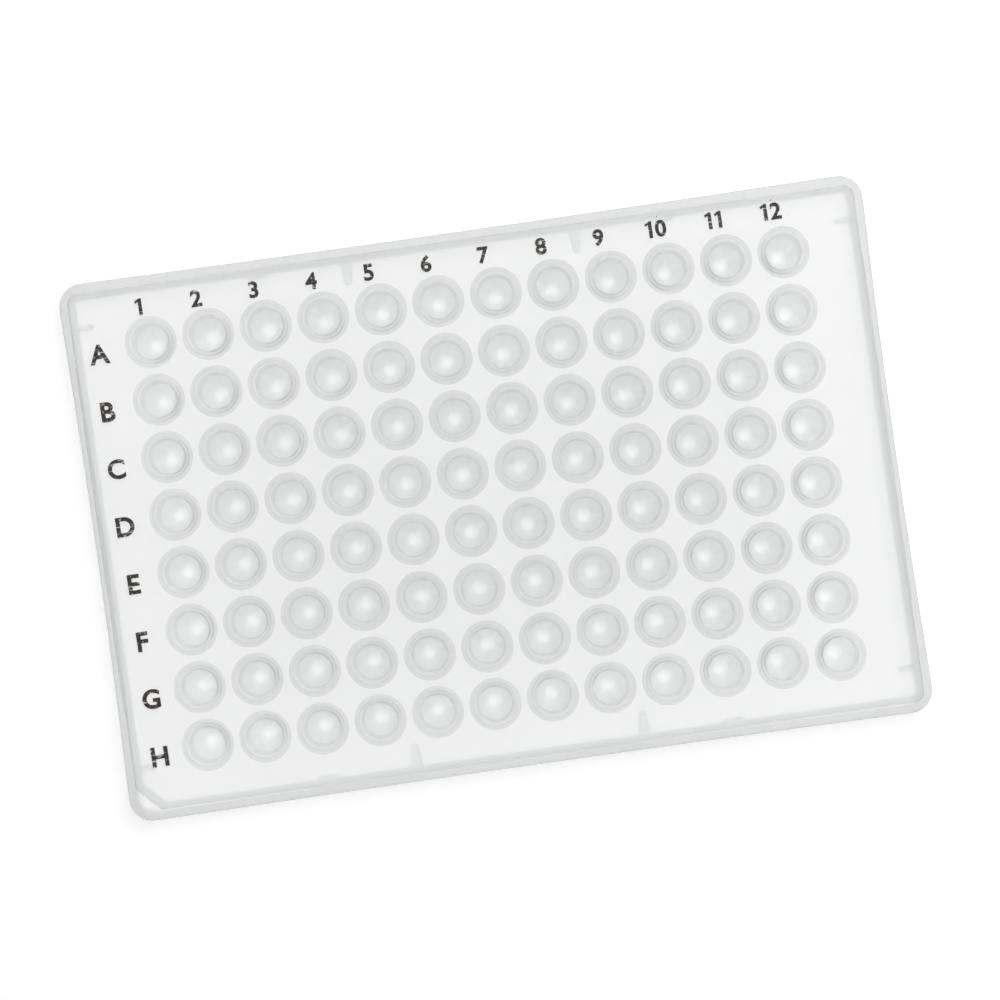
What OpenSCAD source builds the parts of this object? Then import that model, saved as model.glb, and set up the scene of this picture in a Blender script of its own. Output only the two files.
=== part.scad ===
// 96-well plate with a full skirt, moulded in one piece of natural polypropylene.
// Millimetres, +Z up. The origin is the middle of the footprint, on the surface the skirt stands on.
// +X runs along the long side, from column 1 to column 12, and +Y points from row H to row A.

/* [Footprint] */
// Length of the skirt's foot
plate_l = 127.76; // [120:0.1:132]
// Width of the skirt's foot
plate_w = 85.48; // [82:0.1:92]
// Height from the foot to the top of the well rims
plate_h = 20.9; // [18:0.1:26]
// Corner radius of the foot, seen from above
foot_corner_r = 3.8; // [3.4:0.1:6]

/* [Skirt] */
// Height of the wide lower band of the skirt
flange_h = 6.1; // [3:0.1:8]
// Wall of the lower band
flange_wall = 1.15; // [0.8:0.05:1.4]
// How much narrower the lower band is at its top than at its foot, on each side
flange_draft = 0.1; // [0:0.05:0.3]
// Thickness of the ledge that joins the lower band to the upper wall
ledge_t = 1.15; // [0.8:0.05:1.6]
// How far the upper wall stands inside the foot where it leaves the ledge
wall_inset_low = 1.65; // [1.5:0.05:2]
// How far the upper wall stands inside the foot at the deck
wall_inset_top = 2.36; // [2.1:0.02:2.5]
// Thickness of the upper wall
wall_t = 1.04; // [0.8:0.02:1.2]
// Rounding of the ledge's outer edge
flange_round = 0.4; // [0.2:0.05:0.6]
// How far the lower band's long sides curve in at their middle
long_bow = 0.28; // [0.1:0.02:0.5]
// How far the lower band's short sides curve in at their middle
short_bow = 0.43; // [0.1:0.01:0.5]
// Rounding of the deck's outer edge
deck_round = 0.5; // [0.2:0.05:0.8]

/* [Corner cut at H1] */
// Length of each leg of the corner that is cut off the upper wall
corner_cut = 3.5; // [2:0.1:4]

/* [Deck] */
// Thickness of the deck
deck_t = 1.1; // [0.8:0.05:1.6]
// Distance from each long side of the foot to the witness line
witness_inset = 4.84; // [4.5:0.02:5.6]
// Width of the witness line
witness_w = 0.15; // [0.1:0.05:0.3]
// Depth of the witness line in the deck's underside
witness_depth = 0.12; // [0.05:0.01:0.2]
// Diameter of the ejector pin marks under the deck
pin_mark_d = 2.9; // [2:0.1:3.2]
// Depth of the ejector pin marks
pin_mark_depth = 0.15; // [0.05:0.05:0.3]
// Distance from the foot's end beside the last column to the ejector pin marks
pin_mark_inset = 6.78; // [6.4:0.02:7.8]
// Diameter of the small pin mark on the witness line, in the corner of row A and the last column
corner_mark_d = 1.1; // [0.6:0.1:1.4]
// Distance of the small pin mark from the foot's end
corner_mark_inset = 4.1; // [4:0.05:5]

/* [Wells] */
// Number of rows
rows = 8; // [1:1:8]
// Number of columns
cols = 12; // [1:1:12]
// Distance between well centres
pitch = 9; // [8.9:0.05:9.2]
// Inside diameter of a well at its mouth
well_d = 5.46; // [5.2:0.02:5.7]
// How much the well's radius shrinks from the mouth to the shoulder
neck_draft = 0.08; // [0:0.01:0.15]
// Half angle of the cone below the shoulder
cone_angle = 8.75; // [7.5:0.25:10]
// Inside radius of the round tip
tip_r = 1.15; // [0.9:0.05:1.3]
// Wall above the shoulder
neck_wall = 0.55; // [0.4:0.05:0.7]
// Wall of the cone and the tip
cone_wall = 0.4; // [0.25:0.05:0.45]
// Gap between the tips and the surface the skirt stands on
tip_gap = 0.3; // [0.1:0.05:0.8]

/* [Well rims] */
// Height of the rims above the deck
rim_h = 0.9; // [0.6:0.05:1.2]
// Outside diameter of a rim
rim_d = 6.9; // [6.6:0.05:7.2]
// Rounding of the rim's two edges
rim_round = 0.25; // [0.1:0.05:0.3]
// Diameter of the sloping foot of a rim, where it meets the deck
rim_foot_d = 8.1; // [7.8:0.05:8.4]
// Height of the sloping foot
rim_foot_h = 0.3; // [0.2:0.05:0.4]
// Height of the thick root that carries a tube under the deck
root_h = 0.9; // [0.5:0.1:1.5]

/* [Ribs under the deck] */
// Columns between the middle of the plate and each rib on a long side
long_rib_cols = 2; // [1:1:4]
// How far a rib on a long side reaches in from the wall
long_rib_l = 3.1; // [2:0.1:3.2]
// Width of that rib at the wall
long_rib_root = 1.85; // [1:0.05:2.2]
// Width of that rib at its tip
long_rib_tip = 0.95; // [0.7:0.05:1.2]
// Distance from each long side of the foot to the ribs and webs on the short sides
short_rib_inset = 7.44; // [6.8:0.02:8.6]
// How much further in the rib beside the cut corner stands
cut_rib_shift = 1.25; // [0.5:0.05:1.8]
// How far a rib on a short side reaches in from the wall
short_rib_l = 2; // [1:0.1:3]
// Thickness of a rib on a short side
short_rib_t = 0.72; // [0.6:0.02:1]
// Height of the ribs under the deck
rib_h = 8; // [4:0.5:11]
// Distance from the middle of the plate to the low pads inside the long walls
pad_x = 32; // [28:0.5:40]
// Width of a pad
pad_w = 2.8; // [1.5:0.1:4]
// How far a pad stands out of the wall at the deck
pad_proud = 0.25; // [0.1:0.05:0.4]

/* [Webs under the ledge] */
// Distance from each short side of the foot to the webs on the long sides
long_web_inset = 7.38; // [5.8:0.02:10]
// Thickness of the webs
web_t = 0.8; // [0.6:0.05:1]

/* [Grip panels] */
// Length of the raised panel on each short side
grip_l = 54; // [40:1:60]
// Distance of the panel's middle from the middle of the plate
grip_y = 2.2; // [0:0.1:3]
// How far the panel stands out of the upper wall
grip_proud = 0.15; // [0.1:0.05:0.25]
// Distance from the panel's top to the deck
grip_below_deck = 1.6; // [1:0.1:3]

/* [Hidden] */
$fn = 48;

// Small overlap that carries a cut past the surface it opens
past = 0.1;
// Flat steps in the small round edges of the rims and the lower band
edge_steps = 3;
// Straight stretch between a corner and the bow of a side, and how far the bow's cutter reaches outwards
bow_end = 1.5;
bow_cut = 1;
// Flat steps in the bow of a side
bow_steps = 24;
// Rows that have an ejector pin mark beside them
pin_rows = [0, 2, rows - 3, rows - 1];

// Heights above the foot
deck_z = plate_h - rim_h;
deck_under_z = deck_z - deck_t;
ledge_under_z = flange_h - ledge_t;
ledge_mid_z = flange_h - ledge_t / 2;
wall_rise = deck_z - flange_h;

// Centres of the foot's corners
corner_x = plate_l / 2 - foot_corner_r;
corner_y = plate_w / 2 - foot_corner_r;

// Places of the ribs, webs and mould marks, from the middle of the plate
long_rib_x = long_rib_cols * pitch;
short_rib_y = plate_w / 2 - short_rib_inset;
cut_rib_y = short_rib_y - cut_rib_shift;
long_web_x = plate_l / 2 - long_web_inset;
witness_y = plate_w / 2 - witness_inset;
pin_mark_x = plate_l / 2 - pin_mark_inset;
corner_mark_x = plate_l / 2 - corner_mark_inset;

// How far each surface reaches outside the lines that join the corner centres
foot_reach = foot_corner_r;
flange_top_reach = foot_reach - flange_draft;
flange_edge_reach = flange_top_reach - flange_round;
hollow_top_reach = flange_top_reach - flange_wall;
wall_low_reach = foot_reach - wall_inset_low;
wall_top_reach = foot_reach - wall_inset_top;

// Well radii and heights, from the mouth down
mouth_r = well_d / 2;
shoulder_r = mouth_r - neck_draft;
tip_z = tip_gap + cone_wall + tip_r;
tube_tip_r = tip_r + cone_wall;
tube_shoulder_r = shoulder_r + neck_wall;
tube_neck_r = mouth_r + neck_wall;
rim_r = rim_d / 2;
rim_foot_r = rim_foot_d / 2;

// The outside of the upper wall at a height, and its inside there
function wall_reach(z) = wall_low_reach - (wall_low_reach - wall_top_reach) * (z - flange_h) / wall_rise;
function wall_inner_reach(z) = wall_reach(z) - wall_t;

// Place of the well in a row and a column, counted from 0 at A1
function well_x(col) = (col - (cols - 1) / 2) * pitch;
function well_y(row) = ((rows - 1) / 2 - row) * pitch;

// Where a round tip of radius r runs into its cone, and how high that cone reaches radius r_end
function tangent_r(r) = r * cos(cone_angle);
function tangent_z(r) = tip_z - r * sin(cone_angle);
function cone_top_z(r, r_end) = tangent_z(r) + (r_end - tangent_r(r)) / tan(cone_angle);

// Points along a small round edge, from one angle to another about its centre
function arc_points(x, y, r, from, to) =
    [for (i = [0:edge_steps]) let (t = from + (to - from) * i / edge_steps) [x + r * cos(t), y + r * sin(t)]];

// Carries a flat section round the plate as a solid block. In the section, x is the reach outside the
// lines that join the corner centres and y is the height, and the section runs from x = 0.
module round_block(bottom_z, top_z) {
    for (sx = [-1, 1], sy = [-1, 1])
        translate([sx * corner_x, sy * corner_y, 0])
            rotate([0, 0, sx > 0 ? (sy > 0 ? 0 : 270) : (sy > 0 ? 90 : 180)])
                rotate_extrude(angle = 90) children();
    for (side = [0, 180])
        rotate([0, 0, side]) {
            translate([corner_x, corner_y, 0])
                rotate([90, 0, 0]) linear_extrude(2 * corner_y) children();
            translate([-corner_x, corner_y, 0])
                rotate([90, 0, 90]) linear_extrude(2 * corner_x) children();
        }
    translate([-corner_x, -corner_y, bottom_z])
        cube([2 * corner_x, 2 * corner_y, top_z - bottom_z]);
}

// Carries a flat section along a side that curves in by bow at its middle. The side runs along Y, its
// corner centres lie at edge, and the curve meets the straight side half from the middle.
module along_bow(edge, half, bow) {
    bend_r = (half * half + bow * bow) / (2 * bow);
    turn = 2 * asin((half + bow_end / 2) / bend_r);
    translate([edge + foot_reach - bow + bend_r, 0, 0])
        rotate([0, 0, 180 - turn / 2])
            rotate_extrude(angle = turn, $fn = bow_steps * 360 / turn)
                translate([bend_r + foot_reach, 0]) mirror([1, 0]) children();
}

// Carries a flat section along the bows of all four sides
module along_bows() {
    for (side = [0, 180]) {
        rotate([0, 0, side]) along_bow(corner_x, corner_y - bow_end, short_bow) children();
        rotate([0, 0, side + 90]) along_bow(corner_y, corner_x - bow_end, long_bow) children();
    }
}

// A quarter disc of radius r, in the quadrant that sx and sy point to
module quarter_disc(r, sx, sy) {
    intersection() {
        circle(r);
        translate([sx > 0 ? 0 : -r, sy > 0 ? 0 : -r]) square(r);
    }
}

// Section of the lower band: it narrows a little upwards and its top edge is round
module flange_section() {
    polygon(concat(
        [[0, 0], [foot_reach, 0]],
        arc_points(flange_edge_reach, flange_h - flange_round, flange_round, 0, 90),
        [[0, flange_h]]));
}

// What lies outside a section of the lower band or of its hollow, from a reach out to where a bow's cutter ends
module outside_section(from) {
    difference() {
        translate([from, -2 * past]) square([foot_reach + bow_cut - from, flange_h + 3 * past]);
        children();
    }
}

// Section of the housing, from inside the ledge up to the deck's round edge
module housing_section() {
    edge_z = deck_z - deck_round;
    edge_reach = wall_reach(edge_z);
    polygon([[0, ledge_mid_z], [wall_reach(ledge_mid_z), ledge_mid_z], [edge_reach, edge_z], [0, edge_z]]);
    translate([0, edge_z]) square([edge_reach - deck_round, deck_round]);
    translate([edge_reach - deck_round, edge_z]) quarter_disc(deck_round, 1, 1);
}

// Section of the hollow inside the lower band
module lower_hollow_section() {
    polygon([[0, -past], [foot_reach - flange_wall, -past],
             [hollow_top_reach, ledge_under_z], [0, ledge_under_z]]);
}

// Section of the hollow between the ledge and the deck
module upper_hollow_section() {
    polygon([[0, 0], [wall_inner_reach(flange_h), 0], [wall_inner_reach(flange_h), flange_h],
             [wall_inner_reach(deck_under_z), deck_under_z], [0, deck_under_z]]);
}

// What lies beyond the cut corner, from bottom_z up to top_z. The face leans as the upper wall does, and
// inside says how far behind it the cut lies.
module beyond_corner_cut(bottom_z, top_z, inside) {
    face = (2 * wall_top_reach - corner_cut) / sqrt(2);
    lean = (wall_low_reach - wall_top_reach) / wall_rise;
    beyond = 3 * corner_cut;
    face_low = face + (deck_z - bottom_z) * lean - inside;
    face_top = face + (deck_z - top_z) * lean - inside;
    translate([-corner_x, -corner_y, 0]) rotate([0, 0, 225]) rotate([90, 0, 0])
        linear_extrude(2 * beyond, center = true)
            polygon([[face_low, bottom_z], [face_low + beyond, bottom_z],
                     [face_low + beyond, top_z], [face_top, top_z]]);
}

// The raised panel in the middle of each short side
module grip_panels() {
    grip_top_z = deck_z - grip_below_deck;
    low = corner_x + wall_low_reach;
    top = corner_x + wall_reach(grip_top_z);
    for (side = [-1, 1])
        translate([0, grip_y, 0])
            rotate([90, 0, 0])
                linear_extrude(grip_l, center = true)
                    polygon([[side * (low - wall_t / 2), ledge_mid_z],
                             [side * (low + grip_proud), ledge_mid_z],
                             [side * (low + grip_proud), flange_h],
                             [side * (top + grip_proud), grip_top_z - grip_proud],
                             [side * top, grip_top_z],
                             [side * (top - wall_t / 2), grip_top_z]]);
}

// The stepped skirt and the deck, with the cut corner and the open underside
module skirt_and_deck() {
    difference() {
        union() {
            round_block(0, flange_h) flange_section();
            difference() {
                round_block(ledge_mid_z, deck_z) housing_section();
                beyond_corner_cut(ledge_under_z, deck_z + past, 0);
            }
        }
        along_bows() outside_section(flange_edge_reach) flange_section();
        difference() {
            round_block(-past, ledge_under_z) lower_hollow_section();
            along_bows() outside_section(hollow_top_reach) lower_hollow_section();
        }
        difference() {
            round_block(0, deck_under_z) upper_hollow_section();
            beyond_corner_cut(ledge_under_z, deck_z, wall_t);
        }
    }
}

// The part of a tip's disc that lies below its cone
module tip_section(r) {
    intersection() {
        translate([0, tip_z]) circle(r);
        translate([0, tip_z - 2 * r]) square([2 * r, 2 * r - r * sin(cone_angle)]);
    }
}

// Section of a tube's wall. The outline runs up the outside, from the tip over the cone, the neck, the
// thick root under the deck and the sloping foot, over the round rim, and down the inside.
module tube_section() {
    edge_z = plate_h - rim_round;
    difference() {
        union() {
            tip_section(tube_tip_r);
            polygon(concat(
                [[0, tangent_z(tube_tip_r)], [tangent_r(tube_tip_r), tangent_z(tube_tip_r)],
                 [tube_shoulder_r, cone_top_z(tube_tip_r, tube_shoulder_r)],
                 [tube_neck_r, deck_under_z - root_h], [rim_foot_r, deck_under_z],
                 [rim_foot_r, deck_z], [rim_r, deck_z + rim_foot_h]],
                arc_points(rim_r - rim_round, edge_z, rim_round, 0, 90),
                arc_points(mouth_r + rim_round, edge_z, rim_round, 90, 180),
                [[shoulder_r, cone_top_z(tip_r, shoulder_r)],
                 [tangent_r(tip_r), tangent_z(tip_r)], [0, tangent_z(tip_r)]]));
        }
        translate([0, tip_z]) circle(tip_r);
    }
}

// One tube, closed at its tip and open at its rim
module tube() {
    rotate_extrude() tube_section();
}

// Puts what follows at the centre of every well
module at_each_well() {
    for (row = [0:rows - 1], col = [0:cols - 1])
        translate([well_x(col), well_y(row), 0]) children();
}

// A rib under the deck, from the wall inwards along -Y. It widens towards the wall.
module long_side_rib() {
    wall_y = corner_y + wall_inner_reach(deck_under_z);
    low_z = deck_under_z - rib_h;
    translate([0, 0, low_z])
        linear_extrude(rib_h + deck_t / 2)
            polygon([[-long_rib_tip / 2, wall_y - long_rib_l], [long_rib_tip / 2, wall_y - long_rib_l],
                     [long_rib_root / 2, wall_y], [long_rib_root / 2, wall_y + wall_t / 2],
                     [-long_rib_root / 2, wall_y + wall_t / 2], [-long_rib_root / 2, wall_y]]);
}

// A straight rib under the deck, from the wall inwards along -X
module short_side_rib() {
    wall_x = corner_x + wall_inner_reach(deck_under_z);
    translate([wall_x - short_rib_l, -short_rib_t / 2, deck_under_z - rib_h])
        cube([short_rib_l + wall_t / 2, short_rib_t, rib_h + deck_t / 2]);
}

// A low pad on the inside of a long wall, under the deck
module wall_pad() {
    wall_y = corner_y + wall_inner_reach(deck_under_z);
    translate([-pad_w / 2, wall_y - pad_proud, deck_under_z - rib_h])
        cube([pad_w, pad_proud + wall_t / 2, rib_h + deck_t / 2]);
}

// All the ribs and pads under the deck
module ribs() {
    for (side = [0, 180], x = [-long_rib_x, long_rib_x])
        rotate([0, 0, side]) translate([x, 0, 0]) long_side_rib();
    for (side = [0, 180], x = [-pad_x, pad_x])
        rotate([0, 0, side]) translate([x, 0, 0]) wall_pad();
    for (y = [-short_rib_y, short_rib_y]) translate([0, y, 0]) short_side_rib();
    for (y = [-cut_rib_y, short_rib_y]) translate([0, y, 0]) mirror([1, 0, 0]) short_side_rib();
}

// A web that ties the lower band to the ledge, along Y. The corner centres lie at edge.
module web(edge) {
    inner = edge + wall_inner_reach(flange_h);
    outer = edge + foot_reach - flange_wall / 2;
    translate([-web_t / 2, inner, ledge_under_z / 2])
        cube([web_t, outer - inner, ledge_under_z / 2 + ledge_t / 2]);
}

// All the webs under the ledge
module webs() {
    for (side = [0, 180], x = [-long_web_x, long_web_x])
        rotate([0, 0, side]) translate([x, 0, 0]) web(corner_y);
    for (side = [90, 270], y = [-short_rib_y, short_rib_y])
        rotate([0, 0, side]) translate([y, 0, 0]) web(corner_x);
}

// Marks that the mould leaves under the deck: a line along each long side and the ejector pins
module mould_marks() {
    for (y = [-witness_y, witness_y])
        translate([-corner_x, y - witness_w / 2, deck_under_z - past])
            cube([2 * corner_x, witness_w, witness_depth + past]);
    for (row = pin_rows)
        translate([pin_mark_x, well_y(row), deck_under_z - past])
            cylinder(d = pin_mark_d, h = pin_mark_depth + past);
    translate([corner_mark_x, witness_y, deck_under_z - past])
        cylinder(d = corner_mark_d, h = pin_mark_depth + past);
}

// The whole plate, one moulding
module plate() {
    color([0.93, 0.935, 0.93])
        union() {
            difference() {
                union() {
                    skirt_and_deck();
                    ribs();
                    webs();
                }
                mould_marks();
                at_each_well()
                    translate([0, 0, deck_under_z - past]) cylinder(r = rim_r, h = deck_t + 2 * past);
            }
            at_each_well() tube();
            grip_panels();
        }
}

plate();
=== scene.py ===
"""Looks of the 96-well plate: natural polypropylene, a worn stamped print and a pale studio.

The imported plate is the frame. It keeps its mesh and takes the moulded plastic. The row letters, the
column numbers and the ink specks lie on its deck as thin films. All lengths are in metres.
"""

import math

import bmesh
import bpy
from mathutils import Matrix, Vector


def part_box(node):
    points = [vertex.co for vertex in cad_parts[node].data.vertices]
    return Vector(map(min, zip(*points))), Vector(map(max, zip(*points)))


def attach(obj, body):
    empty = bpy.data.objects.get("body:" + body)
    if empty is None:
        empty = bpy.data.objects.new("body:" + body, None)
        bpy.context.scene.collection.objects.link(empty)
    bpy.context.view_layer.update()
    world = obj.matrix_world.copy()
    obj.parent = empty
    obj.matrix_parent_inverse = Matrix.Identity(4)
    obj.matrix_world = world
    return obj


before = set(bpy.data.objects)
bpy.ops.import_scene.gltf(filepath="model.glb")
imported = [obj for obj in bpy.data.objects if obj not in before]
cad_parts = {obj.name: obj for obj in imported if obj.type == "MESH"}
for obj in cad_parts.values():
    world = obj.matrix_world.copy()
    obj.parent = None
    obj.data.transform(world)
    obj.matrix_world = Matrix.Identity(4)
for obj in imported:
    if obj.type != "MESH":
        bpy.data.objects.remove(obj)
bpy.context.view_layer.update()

bl_info = {
    "name": "Well plate",
    "version": (1, 0, 0),
    "blender": (4, 5, 0),
    "location": "3D View > Sidebar > Well plate",
    "description": "Finishes a 96-well plate in natural polypropylene, with its stamped print and a studio",
    "category": "Object",
}

MM = 0.001
PLATE = "plate"
BODY = "root"

ROW_LETTERS = "ABCDEFGH"
COLUMN_COUNT = 12
PITCH = 9 * MM
RIM_HEIGHT = 0.9 * MM

# The ledge and the band below it: how high they reach, and how far in from the foot
BAND_HEIGHT = 6.15 * MM
LEDGE_INSET = 2.2 * MM

# Place of each ink speck from the plate's middle and its radius, in millimetres
SPECKS = (
    (30.8, 39.7, 0.07),
    (40.7, 39.65, 0.05),
    (48.6, 39.75, 0.08),
    (51.1, 37.1, 0.05),
    (49.9, 36.9, 0.04),
)
SPECK_CORNERS = 10
SPECK_TAPER = 0.8
SPECK_STRETCH = 1.6

# The plain one, as shares of its height: its stem, its flag, and the flag's slope and lower edge
ONE_STEM = 0.215
ONE_STEM_TOP = 0.35
ONE_FLAG = 0.20
ONE_SLOPE = 0.15
ONE_FLAG_END = 0.75
ONE_FLAG_LOW = 0.70
ONE_FLAG_ROOT = 0.80

# Polypropylene's index of refraction, and the clouds in it
PLASTIC_IOR = 1.49
CLOUD_SCALE = 220
LEAST_HAZE, MOST_HAZE = 0.95, 1.1

# Noise levels between which the film is worn through in spots and streaks, rubbed thin, and dulled
SPOT_EDGE = (0.59, 0.64)
STREAK_EDGE = (0.62, 0.68)
THIN_EDGE = (0.42, 0.6)
DULL_EDGE = (0.3, 0.7)
INK_ROUGHNESS = (0.45, 0.65)
STREAK_SCALE = (0.2, 1.6, 1)
PIT_ROUGHNESS = 0.6

FLOOR_TONE = (0.8, 0.8, 0.8, 1)
FLOOR_ROUGHNESS = 0.9
FLOOR_GLOW = 0.5
FLOOR_DROP = 0.05 * MM
WORLD_LEVEL = 0.3
WHITE = (1, 1, 1, 1)

LAMP_SIZE = 0.8
LAMP_POWER = 9
LAMP_PLACE = (0.35, 0.4, 1.4)

SENSOR_WIDTH = 36
NEAREST_SEEN = 0.01
CAMERA_X = 0.63 * MM
CAMERA_Y = -0.34 * MM

PLATE_LOW, PLATE_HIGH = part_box(PLATE)
DECK_Z = PLATE_HIGH.z - RIM_HEIGHT
GRID_CENTRE = Vector(((PLATE_LOW.x + PLATE_HIGH.x) / 2, (PLATE_LOW.y + PLATE_HIGH.y) / 2, 0))


# ---------------------------------------------------------------- sizes and colours

class PlasticSettings(bpy.types.PropertyGroup):
    """The moulded plastic of the plate."""

    tone: bpy.props.FloatVectorProperty(
        name="Tone", description="Milky tone of the plastic's surfaces",
        subtype="COLOR", size=3, min=0, max=1, default=(0.945, 0.945, 0.94))
    cloud_tone: bpy.props.FloatVectorProperty(
        name="Cloud tone", description="Tone of the faint clouds in the plastic",
        subtype="COLOR", size=3, min=0, max=1, default=(0.93, 0.93, 0.93))
    # Painted light: the ledge and the band below it are the same plastic as the rest, given a lighter,
    # faintly yellow tone in place of how light passes through their edge-on walls
    band_painted_tone: bpy.props.FloatVectorProperty(
        name="Lower band", description="Tone of the ledge and of the band below it",
        subtype="COLOR", size=3, min=0, max=1, default=(0.96, 0.96, 0.94))
    depth_tone: bpy.props.FloatVectorProperty(
        name="Depth", description="Colour of the light that a long way through the plastic leaves",
        subtype="COLOR", size=3, min=0, max=1, default=(0.1, 0.2, 0.25))
    depth: bpy.props.FloatProperty(
        name="Depth strength", description="How fast the plastic takes light away, for each metre",
        min=0, max=100, default=18)
    milkiness: bpy.props.FloatProperty(
        name="Milkiness", description="Share of a surface that hides what lies behind it",
        subtype="FACTOR", min=0, max=1, default=0.36)
    band_milkiness: bpy.props.FloatProperty(
        name="Band milkiness", description="The same share on the ledge and the lower band",
        subtype="FACTOR", min=0, max=1, default=0.5)
    clarity: bpy.props.FloatProperty(
        name="Clarity", description="Share of the light in the plastic that bends through it",
        subtype="FACTOR", min=0, max=1, default=0.3)
    haze: bpy.props.FloatProperty(
        name="Haze", description="Roughness of the moulded surface",
        subtype="FACTOR", min=0, max=1, default=0.32)
    band_shade: bpy.props.FloatProperty(
        name="Band shade", description="Share of a lamp's light that a surface of the lower band stops",
        subtype="FACTOR", min=0, max=1, default=0.25)


class PrintSettings(bpy.types.PropertyGroup):
    """The hot-stamped letters and numbers."""

    letter_height: bpy.props.FloatProperty(
        name="Letter height", description="Height of the row letters",
        subtype="DISTANCE", unit="LENGTH", min=1 * MM, max=5 * MM, default=3.1 * MM)
    number_height: bpy.props.FloatProperty(
        name="Number height", description="Height of the column numbers",
        subtype="DISTANCE", unit="LENGTH", min=1 * MM, max=5 * MM, default=2.64 * MM)
    letter_x: bpy.props.FloatProperty(
        name="Letter column", description="Distance from the plate's middle to the letters",
        subtype="DISTANCE", unit="LENGTH", min=50 * MM, max=60 * MM, default=57.37 * MM)
    number_y: bpy.props.FloatProperty(
        name="Number row", description="Distance from the plate's middle to the numbers",
        subtype="DISTANCE", unit="LENGTH", min=36 * MM, max=39 * MM, default=37.56 * MM)
    shift_x: bpy.props.FloatProperty(
        name="Shift along X", description="How far the stamp sits from the columns' middles",
        subtype="DISTANCE", unit="LENGTH", min=-2 * MM, max=2 * MM, default=-0.77 * MM)
    shift_y: bpy.props.FloatProperty(
        name="Shift along Y", description="How far the stamp sits from the rows' middles",
        subtype="DISTANCE", unit="LENGTH", min=-2 * MM, max=2 * MM, default=-0.3 * MM)
    turn: bpy.props.FloatProperty(
        name="Turn", description="How crooked the stamp sits on the plate",
        subtype="ANGLE", unit="ROTATION", min=-0.1, max=0.1, default=math.radians(0.5))
    film: bpy.props.FloatProperty(
        name="Film", description="Thickness of the stamped film",
        subtype="DISTANCE", unit="LENGTH", min=0.005 * MM, max=0.1 * MM, default=0.03 * MM)
    weight: bpy.props.FloatProperty(
        name="Weight", description="How much the strokes are thickened, as a share of the type size",
        min=0, max=0.1, default=0.032)
    breadth: bpy.props.FloatProperty(
        name="Breadth", description="Width of a sign against that of the plain typeface",
        min=0.5, max=1.5, default=1.0)
    spacing: bpy.props.FloatProperty(
        name="Spacing", description="Gap between the two signs of a number, as a share of their height",
        min=0, max=1, default=0.17)
    ink: bpy.props.FloatVectorProperty(
        name="Ink", description="Colour of the stamped film",
        subtype="COLOR", size=3, min=0, max=1, default=(0.022, 0.015, 0.012))
    thin_ink: bpy.props.FloatVectorProperty(
        name="Thin ink", description="Colour of the film where it is rubbed thin",
        subtype="COLOR", size=3, min=0, max=1, default=(0.07, 0.052, 0.043))
    wear: bpy.props.FloatProperty(
        name="Wear", description="How bare the worn spots and streaks are",
        subtype="FACTOR", min=0, max=1, default=0.75)
    pits: bpy.props.FloatProperty(
        name="Pits", description="How many worn spots there are in a metre",
        min=100, max=5000, default=1900)
    streak_turn: bpy.props.FloatProperty(
        name="Streak turn", description="Direction of the worn streaks on the deck",
        subtype="ANGLE", unit="ROTATION", min=-math.pi, max=math.pi, default=math.radians(35))


class StageSettings(bpy.types.PropertyGroup):
    """The floor and the camera."""

    floor_size: bpy.props.FloatProperty(
        name="Floor", description="Side of the floor",
        subtype="DISTANCE", unit="LENGTH", min=1, max=20, default=6)
    camera_distance: bpy.props.FloatProperty(
        name="Camera distance", description="Height of the camera above the rims",
        subtype="DISTANCE", unit="LENGTH", min=0.3, max=3, default=0.9)
    view_width: bpy.props.FloatProperty(
        name="View width", description="Width that the picture takes in at the height of the rims",
        subtype="DISTANCE", unit="LENGTH", min=0.05, max=1, default=154.7 * MM)
    view_turn: bpy.props.FloatProperty(
        name="View turn", description="Turn of the camera about the vertical",
        subtype="ANGLE", unit="ROTATION", min=-math.pi, max=math.pi, default=math.radians(-8.09))


# ---------------------------------------------------------------- materials

def new_material(name):
    """A node material with its nodes, its links and its Principled BSDF."""
    material = bpy.data.materials.new(name)
    material.use_nodes = True
    nodes, links = material.node_tree.nodes, material.node_tree.links
    return material, nodes, links, nodes["Principled BSDF"]


def put_in(links, value, socket):
    """Links a socket's value to another socket, or writes a plain number or colour there."""
    if isinstance(value, bpy.types.NodeSocket):
        links.new(value, socket)
    else:
        socket.default_value = value


def worked_out(nodes, links, operation, *values):
    """The result of one Math node."""
    node = nodes.new("ShaderNodeMath")
    node.operation = operation
    for value, socket in zip(values, node.inputs):
        put_in(links, value, socket)
    return node.outputs["Value"]


def rising(nodes, links, value, between, start=0.0, end=1.0):
    """Goes softly from start to end while the value goes from the first level to the second."""
    low, high = between
    node = nodes.new("ShaderNodeMapRange")
    node.interpolation_type = "SMOOTHSTEP"
    for name, number in (("From Min", low), ("From Max", high), ("To Min", start), ("To Max", end)):
        put_in(links, number, node.inputs[name])
    links.new(value, node.inputs["Value"])
    return node.outputs["Result"]


def blended(nodes, links, share, first, second, data_type="FLOAT"):
    """Goes from the first value to the second as the share goes from zero to one."""
    node = nodes.new("ShaderNodeMix")
    node.data_type = data_type
    # A Mix node keeps a socket for every type: its colours come four places after its numbers
    place = {"FLOAT": 0, "RGBA": 4}[data_type]
    put_in(links, share, node.inputs[0])
    put_in(links, first, node.inputs[2 + place])
    put_in(links, second, node.inputs[3 + place])
    return node.outputs[place // 2]


def noise(nodes, links, place, scale, detail):
    """A Noise Texture node on the place given, at a scale in spots for each metre."""
    node = nodes.new("ShaderNodeTexNoise")
    node.inputs["Scale"].default_value = scale
    node.inputs["Detail"].default_value = detail
    links.new(place, node.inputs["Vector"])
    return node


def seen_on_its_own(nodes, links, *rays):
    """1 for the kinds of ray named, which see a surface as a picture does, and 0 for the light itself."""
    path = nodes.new("ShaderNodeLightPath")
    seen = path.outputs[rays[0]]
    for ray in rays[1:]:
        seen = worked_out(nodes, links, "MAXIMUM", seen, path.outputs[ray])
    return seen


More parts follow.
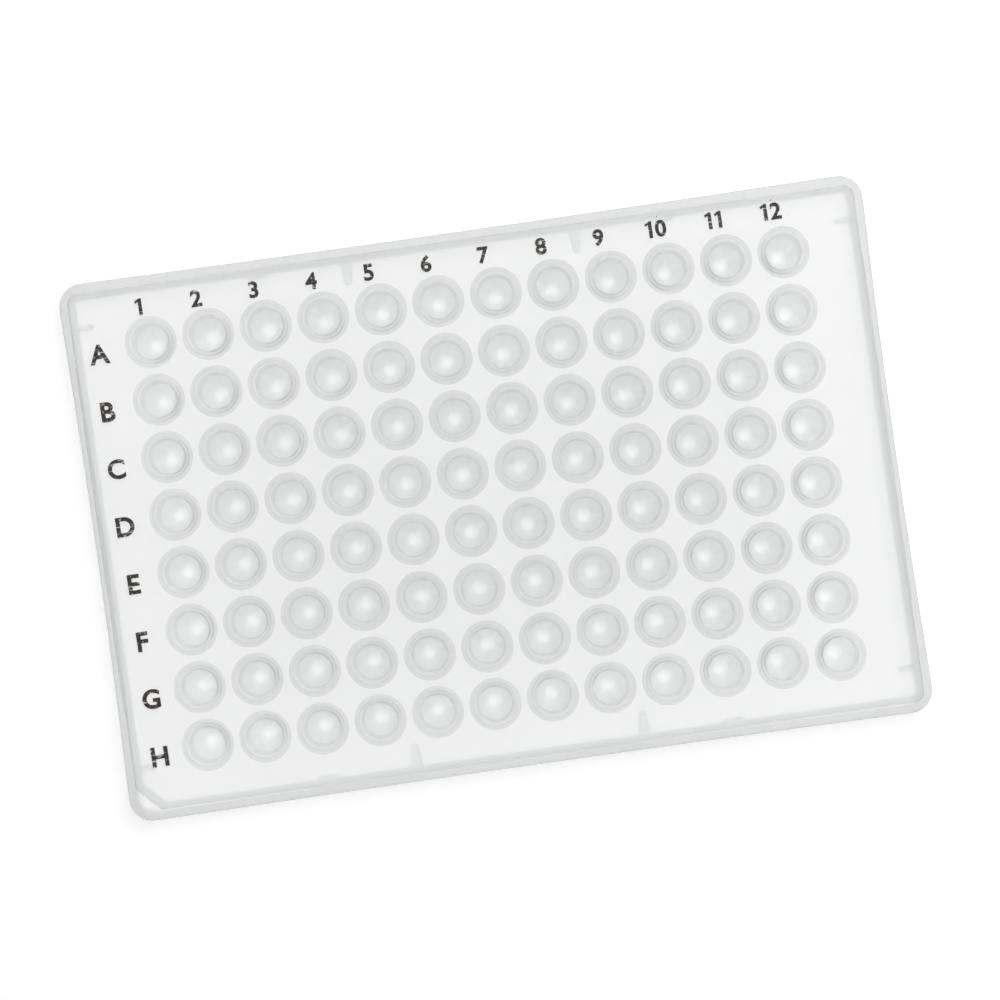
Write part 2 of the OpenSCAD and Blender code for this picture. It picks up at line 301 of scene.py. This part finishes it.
def lower_band_mask(nodes, links, place):
    """1 on the ledge and on the band below it, and 0 on the rest of the plate."""
    across = nodes.new("ShaderNodeVectorMath")
    across.operation = "ABSOLUTE"
    links.new(place, across.inputs[0])
    parts = nodes.new("ShaderNodeSeparateXYZ")
    links.new(across.outputs["Vector"], parts.inputs["Vector"])
    inside = (PLATE_HIGH - PLATE_LOW) / 2 - Vector((LEDGE_INSET, LEDGE_INSET, 0))
    beside_end = worked_out(nodes, links, "GREATER_THAN", parts.outputs["X"], inside.x)
    beside_long_side = worked_out(nodes, links, "GREATER_THAN", parts.outputs["Y"], inside.y)
    low = worked_out(nodes, links, "LESS_THAN", parts.outputs["Z"], BAND_HEIGHT)
    beside = worked_out(nodes, links, "MAXIMUM", beside_end, beside_long_side)
    return worked_out(nodes, links, "MULTIPLY", beside, low)


def plastic_material(settings):
    """Natural polypropylene: milky, see-through, and greyer where light goes a long way inside a wall."""
    material, nodes, links, surface = new_material("natural_polypropylene")
    place = nodes.new("ShaderNodeTexCoord").outputs["Object"]
    lower_band = lower_band_mask(nodes, links, place)
    cloudy = noise(nodes, links, place, CLOUD_SCALE, 0).outputs["Fac"]

    tone = blended(nodes, links, cloudy, (*settings.tone, 1), (*settings.cloud_tone, 1), "RGBA")
    # Painted light: the ledge and the lower band take a lighter, faintly yellow tone in place of how light
    # passes through their edge-on walls
    tone = blended(nodes, links, lower_band, tone, (*settings.band_painted_tone, 1), "RGBA")
    links.new(tone, surface.inputs["Base Color"])
    haze = blended(nodes, links, cloudy, settings.haze * LEAST_HAZE, settings.haze * MOST_HAZE)
    links.new(haze, surface.inputs["Roughness"])
    surface.inputs["Transmission Weight"].default_value = settings.clarity
    surface.inputs["IOR"].default_value = PLASTIC_IOR

    # Lamps shine through the thin walls, and only the lower band shades the floor
    path = nodes.new("ShaderNodeLightPath")
    seen = blended(nodes, links, lower_band, settings.milkiness, settings.band_milkiness)
    shade = blended(nodes, links, lower_band, 0.0, settings.band_shade)
    hidden = blended(nodes, links, path.outputs["Is Shadow Ray"], seen, shade)
    links.new(hidden, surface.inputs["Alpha"])

    soak = nodes.new("ShaderNodeVolumeAbsorption")
    soak.inputs["Color"].default_value = (*settings.depth_tone, 1)
    soak.inputs["Density"].default_value = settings.depth
    links.new(soak.outputs["Volume"], nodes["Material Output"].inputs["Volume"])
    return material


def ink_material(settings):
    """Dark brown stamping film, worn through in spots and streaks."""
    material, nodes, links, surface = new_material("stamped_ink")
    place = nodes.new("ShaderNodeTexCoord").outputs["Object"]
    pits = noise(nodes, links, place, settings.pits, 3)
    pits.inputs["Roughness"].default_value = PIT_ROUGHNESS
    along = nodes.new("ShaderNodeMapping")
    along.inputs["Rotation"].default_value = (0, 0, settings.streak_turn)
    along.inputs["Scale"].default_value = STREAK_SCALE
    links.new(place, along.inputs["Vector"])
    streaks = noise(nodes, links, along.outputs["Vector"], settings.pits, 1)

    spotty = pits.outputs["Fac"]
    pitted = rising(nodes, links, spotty, SPOT_EDGE, 0.0, settings.wear)
    streaked = rising(nodes, links, streaks.outputs["Fac"], STREAK_EDGE, 0.0, settings.wear)
    worn = worked_out(nodes, links, "MAXIMUM", pitted, streaked)
    links.new(worked_out(nodes, links, "SUBTRACT", 1.0, worn), surface.inputs["Alpha"])
    thin = rising(nodes, links, spotty, THIN_EDGE)
    tone = blended(nodes, links, thin, (*settings.ink, 1), (*settings.thin_ink, 1), "RGBA")
    links.new(tone, surface.inputs["Base Color"])
    links.new(rising(nodes, links, spotty, DULL_EDGE, *INK_ROUGHNESS), surface.inputs["Roughness"])
    return material


# ---------------------------------------------------------------- print

def put_on_deck(x, y, settings):
    """The matrix that sets a film, drawn about its own middle, where the crooked stamp puts it."""
    turn = Matrix.Rotation(settings.turn, 4, "Z")
    place = Matrix.Translation(GRID_CENTRE) @ turn @ Matrix.Translation((x, y, 0))
    return Matrix.Translation((0, 0, DECK_Z)) @ place


def box_of(vertices):
    """The lowest and the highest corner round some vertices."""
    low = Vector([min(v.co[i] for v in vertices) for i in range(3)])
    high = Vector([max(v.co[i] for v in vertices) for i in range(3)])
    return low, high


def typed_sign(shape, sign, settings):
    """Adds a letter or number to the mesh, one high and one thick, from the plain typeface made bolder."""
    curve = bpy.data.curves.new(sign, "FONT")
    curve.body = sign
    curve.size = 1
    curve.offset = settings.weight
    curve.resolution_u = 6
    curve.extrude = 0.5
    text = bpy.data.objects.new(sign, curve)
    bpy.context.scene.collection.objects.link(text)
    bpy.context.view_layer.update()
    mesh = bpy.data.meshes.new_from_object(text.evaluated_get(bpy.context.evaluated_depsgraph_get()))
    bpy.data.objects.remove(text)
    old = set(shape.verts)
    shape.from_mesh(mesh)
    bpy.data.meshes.remove(mesh)
    fresh = [v for v in shape.verts if v not in old]
    low, high = box_of(fresh)
    scale = 1 / (high.y - low.y)
    bmesh.ops.scale(shape, verts=fresh, vec=(scale * settings.breadth, scale, 1))
    return fresh


def flagged_one(shape):
    """Adds a one to the mesh, one high and one thick: an upright with a slanting flag and no foot."""
    outline = [(0, 0), (ONE_STEM, 0), (ONE_STEM, 1), (ONE_STEM * ONE_STEM_TOP, 1),
               (-ONE_FLAG, 1 - ONE_SLOPE), (-ONE_FLAG * ONE_FLAG_END, ONE_FLAG_LOW), (0, ONE_FLAG_ROOT)]
    corners = [shape.verts.new((x, y, -0.5)) for x, y in outline]
    face = shape.faces.new(corners)
    top = bmesh.ops.extrude_face_region(shape, geom=[face])["geom"]
    raised = [part for part in top if isinstance(part, bmesh.types.BMVert)]
    bmesh.ops.translate(shape, verts=raised, vec=(0, 0, 1))
    return corners + raised


def film_piece(name, shape, material):
    """Makes a piece of the stamped print from its mesh, riding on the plate."""
    mesh = bpy.data.meshes.new(name)
    shape.to_mesh(mesh)
    shape.free()
    mesh.materials.append(material)
    piece = bpy.data.objects.new(name, mesh)
    bpy.context.scene.collection.objects.link(piece)
    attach(piece, BODY)


def stamped_sign(name, body, height, place, settings, material):
    """A letter or a number as thin closed films, side by side and put in place on the deck."""
    shape = bmesh.new()
    reach = 0
    for sign in body:
        fresh = flagged_one(shape) if sign == "1" else typed_sign(shape, sign, settings)
        low, high = box_of(fresh)
        bmesh.ops.translate(shape, verts=fresh, vec=(reach - low.x, -low.y, 0))
        reach += high.x - low.x + settings.spacing
    low, high = box_of(shape.verts)
    bmesh.ops.translate(shape, verts=shape.verts, vec=-(low + high) / 2)
    bmesh.ops.scale(shape, verts=shape.verts, vec=(height, height, settings.film))
    bmesh.ops.remove_doubles(shape, verts=shape.verts, dist=0.002 * MM)
    bmesh.ops.recalc_face_normals(shape, faces=shape.faces)
    bmesh.ops.transform(shape, matrix=place, verts=shape.verts)
    film_piece(name, shape, material)


def ink_specks(settings, material):
    """The small specks of ink that the stamp left beside the numbers."""
    shape = bmesh.new()
    for x, y, radius in SPECKS:
        made = bmesh.ops.create_cone(shape, cap_ends=True, segments=SPECK_CORNERS, radius1=radius * MM,
                                     radius2=radius * MM * SPECK_TAPER, depth=settings.film)
        bmesh.ops.scale(shape, verts=made["verts"], vec=(1, SPECK_STRETCH, 1))
        bmesh.ops.translate(shape, verts=made["verts"], vec=(x * MM, y * MM, DECK_Z))
    film_piece("ink_specks", shape, material)


# ---------------------------------------------------------------- stage

def floor_material():
    """A pale matt floor that is near white to the camera and still takes a shadow."""
    material, nodes, links, surface = new_material("pale_floor")
    surface.inputs["Base Color"].default_value = FLOOR_TONE
    surface.inputs["Roughness"].default_value = FLOOR_ROUGHNESS
    surface.inputs["Specular IOR Level"].default_value = 0
    seen = seen_on_its_own(nodes, links, "Is Camera Ray", "Is Glossy Ray", "Is Transmission Ray")
    surface.inputs["Emission Color"].default_value = WHITE
    links.new(worked_out(nodes, links, "MULTIPLY", seen, FLOOR_GLOW), surface.inputs["Emission Strength"])
    return material


def pale_world():
    """An even pale light from all sides, and plain white where it is seen."""
    world = bpy.data.worlds.new("studio")
    world.use_nodes = True
    nodes, links = world.node_tree.nodes, world.node_tree.links
    background = nodes["Background"]
    level = nodes.new("ShaderNodeMapRange")
    level.inputs["To Min"].default_value = WORLD_LEVEL
    level.inputs["To Max"].default_value = 1
    links.new(seen_on_its_own(nodes, links, "Is Camera Ray", "Is Transmission Ray"), level.inputs["Value"])
    links.new(level.outputs["Result"], background.inputs["Strength"])
    background.inputs["Color"].default_value = WHITE
    return world


def floor_piece(side):
    """The square floor under the plate, a hair below its foot."""
    shape = bmesh.new()
    bmesh.ops.create_grid(shape, x_segments=1, y_segments=1, size=side / 2)
    bmesh.ops.translate(shape, verts=shape.verts, vec=(0, 0, -FLOOR_DROP))
    mesh = bpy.data.meshes.new("floor")
    shape.to_mesh(mesh)
    shape.free()
    mesh.materials.append(floor_material())
    floor = bpy.data.objects.new("floor", mesh)
    bpy.context.scene.collection.objects.link(floor)


def key_light():
    """One round soft lamp above the plate, towards the corner of row A and the last column."""
    data = bpy.data.lights.new("key_light", "AREA")
    data.shape = "DISK"
    data.size = LAMP_SIZE
    data.energy = LAMP_POWER
    light = bpy.data.objects.new("key_light", data)
    light.location = LAMP_PLACE
    light.rotation_euler = (-Vector(LAMP_PLACE)).to_track_quat("-Z", "Y").to_euler()
    bpy.context.scene.collection.objects.link(light)


def camera_above(settings):
    """The camera, looking straight down on the plate."""
    data = bpy.data.cameras.new("camera")
    data.sensor_width = SENSOR_WIDTH
    data.lens = data.sensor_width * settings.camera_distance / settings.view_width
    data.clip_start = NEAREST_SEEN
    camera = bpy.data.objects.new("camera", data)
    camera.location = (CAMERA_X, CAMERA_Y, PLATE_HIGH.z + settings.camera_distance)
    camera.rotation_euler = (0, 0, settings.view_turn)
    bpy.context.scene.collection.objects.link(camera)
    return camera


# ---------------------------------------------------------------- operators

class WELLPLATE_OT_plate(bpy.types.Operator):
    """Give the moulded plate its plastic"""

    bl_idname = "wellplate.plate"
    bl_label = "Finish the plate"

    def execute(self, context):
        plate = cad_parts[PLATE]
        plate.data.materials.clear()
        plate.data.materials.append(plastic_material(context.scene.well_plate_plastic))
        return {"FINISHED"}


class WELLPLATE_OT_letters(bpy.types.Operator):
    """Stamp the row letters and the column numbers on the deck"""

    bl_idname = "wellplate.letters"
    bl_label = "Stamp the print"

    def execute(self, context):
        settings = context.scene.well_plate_print
        material = ink_material(settings)
        for row, letter in enumerate(ROW_LETTERS):
            y = ((len(ROW_LETTERS) - 1) / 2 - row) * PITCH + settings.shift_y
            stamped_sign("row_" + letter, letter, settings.letter_height,
                         put_on_deck(-settings.letter_x, y, settings), settings, material)
        for column in range(COLUMN_COUNT):
            x = (column - (COLUMN_COUNT - 1) / 2) * PITCH + settings.shift_x
            stamped_sign("column_%02d" % (column + 1), str(column + 1), settings.number_height,
                         put_on_deck(x, settings.number_y, settings), settings, material)
        ink_specks(settings, material)
        return {"FINISHED"}


class WELLPLATE_OT_stage(bpy.types.Operator):
    """Set the floor, the light and the camera"""

    bl_idname = "wellplate.stage"
    bl_label = "Set the stage"

    def execute(self, context):
        settings = context.scene.well_plate_stage
        floor_piece(settings.floor_size)
        context.scene.world = pale_world()
        key_light()
        context.scene.camera = camera_above(settings)
        context.scene.view_settings.view_transform = "Standard"
        return {"FINISHED"}


class WELLPLATE_PT_panel(bpy.types.Panel):
    """Lists the steps in the sidebar"""

    bl_idname = "WELLPLATE_PT_panel"
    bl_label = "Well plate"
    bl_space_type = "VIEW_3D"
    bl_region_type = "UI"
    bl_category = "Well plate"

    def draw(self, context):
        for operator in OPERATORS:
            self.layout.operator(operator.bl_idname)
        for group_name in SETTINGS:
            owner = getattr(context.scene, group_name)
            box = self.layout.box()
            for name in owner.__annotations__:
                box.prop(owner, name)


SETTINGS = {
    "well_plate_plastic": PlasticSettings,
    "well_plate_print": PrintSettings,
    "well_plate_stage": StageSettings,
}
OPERATORS = (WELLPLATE_OT_plate, WELLPLATE_OT_letters, WELLPLATE_OT_stage)


def register():
    """Adds the settings, the operators and the panel to Blender."""
    for name, group in SETTINGS.items():
        bpy.utils.register_class(group)
        setattr(bpy.types.Scene, name, bpy.props.PointerProperty(type=group))
    for operator in OPERATORS:
        bpy.utils.register_class(operator)
    bpy.utils.register_class(WELLPLATE_PT_panel)


def unregister():
    """Takes them away again."""
    bpy.utils.unregister_class(WELLPLATE_PT_panel)
    for operator in reversed(OPERATORS):
        bpy.utils.unregister_class(operator)
    for name, group in reversed(SETTINGS.items()):
        delattr(bpy.types.Scene, name)
        bpy.utils.unregister_class(group)


def main():
    """Runs every step in order."""
    register()
    bpy.ops.wellplate.plate()
    bpy.ops.wellplate.letters()
    bpy.ops.wellplate.stage()


if __name__ == "__main__":
    main()
